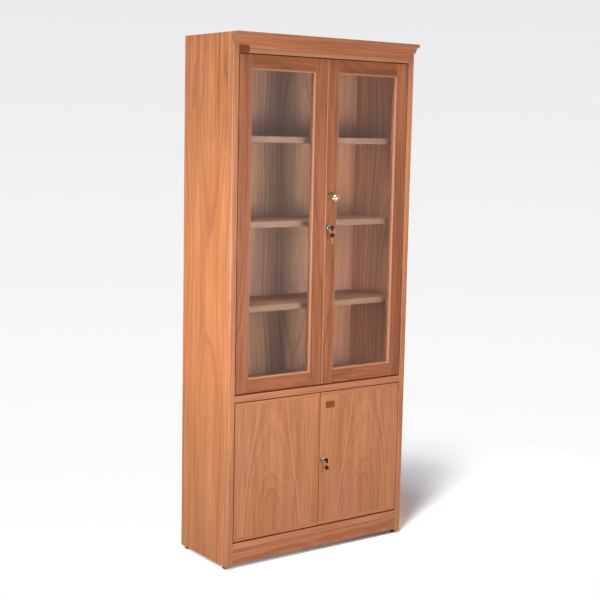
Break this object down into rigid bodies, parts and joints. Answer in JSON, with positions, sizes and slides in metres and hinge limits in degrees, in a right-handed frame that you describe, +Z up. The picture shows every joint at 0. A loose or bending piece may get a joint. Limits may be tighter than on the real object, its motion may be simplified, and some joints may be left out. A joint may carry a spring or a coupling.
{
  "type": "bookcase with glass doors",
  "caption": "Tall wooden bookcase with framed glass doors over a slab-door cupboard, inset doors on pivots, cornice, plinth, shelves, ball knob and keyed cam locks.",
  "frame": {"origin": "middle of the footprint on the floor, with the cornice and the keys counted in the depth", "axes": "+Z up, +Y from the doors towards the back, +X to the right as seen from the front"},
  "size_m": [0.9, 0.397, 2.1],
  "materials": {
    "veneer": "satin lacquered reddish brown veneer with straight and cathedral grain",
    "solid_wood": "satin lacquered solid hardwood edging",
    "frame_wood": "satin lacquered solid hardwood door frame",
    "pale_wood": "satin lacquered paler hardwood beads and shelf edges",
    "back_board": "thin faced board, matt",
    "glass": "clear float glass",
    "brass": "pale polished brass",
    "chrome": "polished chrome plate",
    "plated_steel": "zinc plated steel",
    "dark_steel": "blackened steel",
    "dark_plastic": "dark moulded nylon",
    "black_bow": "black moulded key head",
    "brown_bow": "red-brown moulded key head"
  },
  "bodies": {
    "case": {"left_side_panel": "veneer", "right_side_panel": "veneer", "top_panel": "veneer", "divider_panel": "veneer", "bottom_panel": "veneer", "top_shelf": "veneer", "middle_shelf": "veneer", "bottom_shelf": "veneer", "cupboard_shelf": "veneer", "side_lippings": "solid_wood", "panel_lippings": "solid_wood", "frieze_board": "solid_wood", "cornice_moulding": "solid_wood", "plinth_board": "solid_wood", "case_dowels": "solid_wood", "back_panel": "back_board", "shelf_lippings": "pale_wood", "pivot_pins": "dark_steel", "shelf_pins": "plated_steel", "floor_glides": "dark_plastic", "magnet_catches": "dark_plastic"},
    "upper_left_door": {"upper_left_hinge_stile": "frame_wood", "upper_left_meeting_stile": "frame_wood", "upper_left_top_rail": "frame_wood", "upper_left_bottom_rail": "frame_wood", "upper_left_glass": "glass", "upper_left_beads": "pale_wood", "upper_left_bushes": "dark_plastic", "upper_left_strike": "plated_steel"},
    "lower_left_door": {"lower_left_panel": "veneer", "lower_left_lippings": "solid_wood", "lower_left_bushes": "dark_plastic", "lower_left_strike": "plated_steel"},
    "upper_right_door": {"upper_right_hinge_stile": "frame_wood", "upper_right_meeting_stile": "frame_wood", "upper_right_top_rail": "frame_wood", "upper_right_bottom_rail": "frame_wood", "upper_right_glass": "glass", "upper_right_beads": "pale_wood", "upper_right_bushes": "dark_plastic", "upper_right_strike": "plated_steel", "knob": "brass", "upper_lock_barrel": "chrome"},
    "lower_right_door": {"lower_right_panel": "veneer", "lower_right_lippings": "solid_wood", "lower_right_bushes": "dark_plastic", "lower_right_strike": "plated_steel", "lower_lock_barrel": "chrome"},
    "upper_lock_core": {"upper_lock_plug": "chrome", "upper_lock_cam": "plated_steel", "upper_key_blade": "chrome", "upper_key_bow": "black_bow"},
    "upper_spare": {"upper_spare_key": "chrome", "upper_spare_bow": "brown_bow"},
    "lower_lock_core": {"lower_lock_plug": "chrome", "lower_lock_cam": "plated_steel", "lower_key_blade": "chrome", "lower_key_bow": "black_bow"},
    "lower_spare": {"lower_spare_key": "chrome", "lower_spare_bow": "brown_bow"}
  },
  "joints": [
    {"name": "upper_left_door_swing", "type": "hinge", "parent": "case", "child": "upper_left_door", "pos_m": [-0.41, -0.1435, 1.363], "axis": [0, 0, -1], "range_deg": [0, 110]},
    {"name": "upper_right_door_swing", "type": "hinge", "parent": "case", "child": "upper_right_door", "pos_m": [0.41, -0.1435, 1.363], "axis": [0, 0, 1], "range_deg": [0, 110]},
    {"name": "lower_left_door_swing", "type": "hinge", "parent": "case", "child": "lower_left_door", "pos_m": [-0.41, -0.1435, 0.39], "axis": [0, 0, -1], "range_deg": [0, 110]},
    {"name": "lower_right_door_swing", "type": "hinge", "parent": "case", "child": "lower_right_door", "pos_m": [0.41, -0.1435, 0.39], "axis": [0, 0, 1], "range_deg": [0, 110]},
    {"name": "upper_lock_turn", "type": "hinge", "parent": "upper_right_door", "child": "upper_lock_core", "pos_m": [0.015, -0.1515, 1.35], "axis": [0, 1, 0], "range_deg": [0, 90]},
    {"name": "lower_lock_turn", "type": "hinge", "parent": "lower_right_door", "child": "lower_lock_core", "pos_m": [0.015, -0.1515, 0.39], "axis": [0, 1, 0], "range_deg": [0, 90]},
    {"name": "upper_spare_key_swing", "type": "hinge", "parent": "upper_lock_core", "child": "upper_spare", "pos_m": [0.015, -0.1835, 1.34889], "axis": [-1, 0, 0], "range_deg": [-20, 60]},
    {"name": "lower_spare_key_swing", "type": "hinge", "parent": "lower_lock_core", "child": "lower_spare", "pos_m": [0.015, -0.1835, 0.38889], "axis": [-1, 0, 0], "range_deg": [-20, 60]}
  ]
}
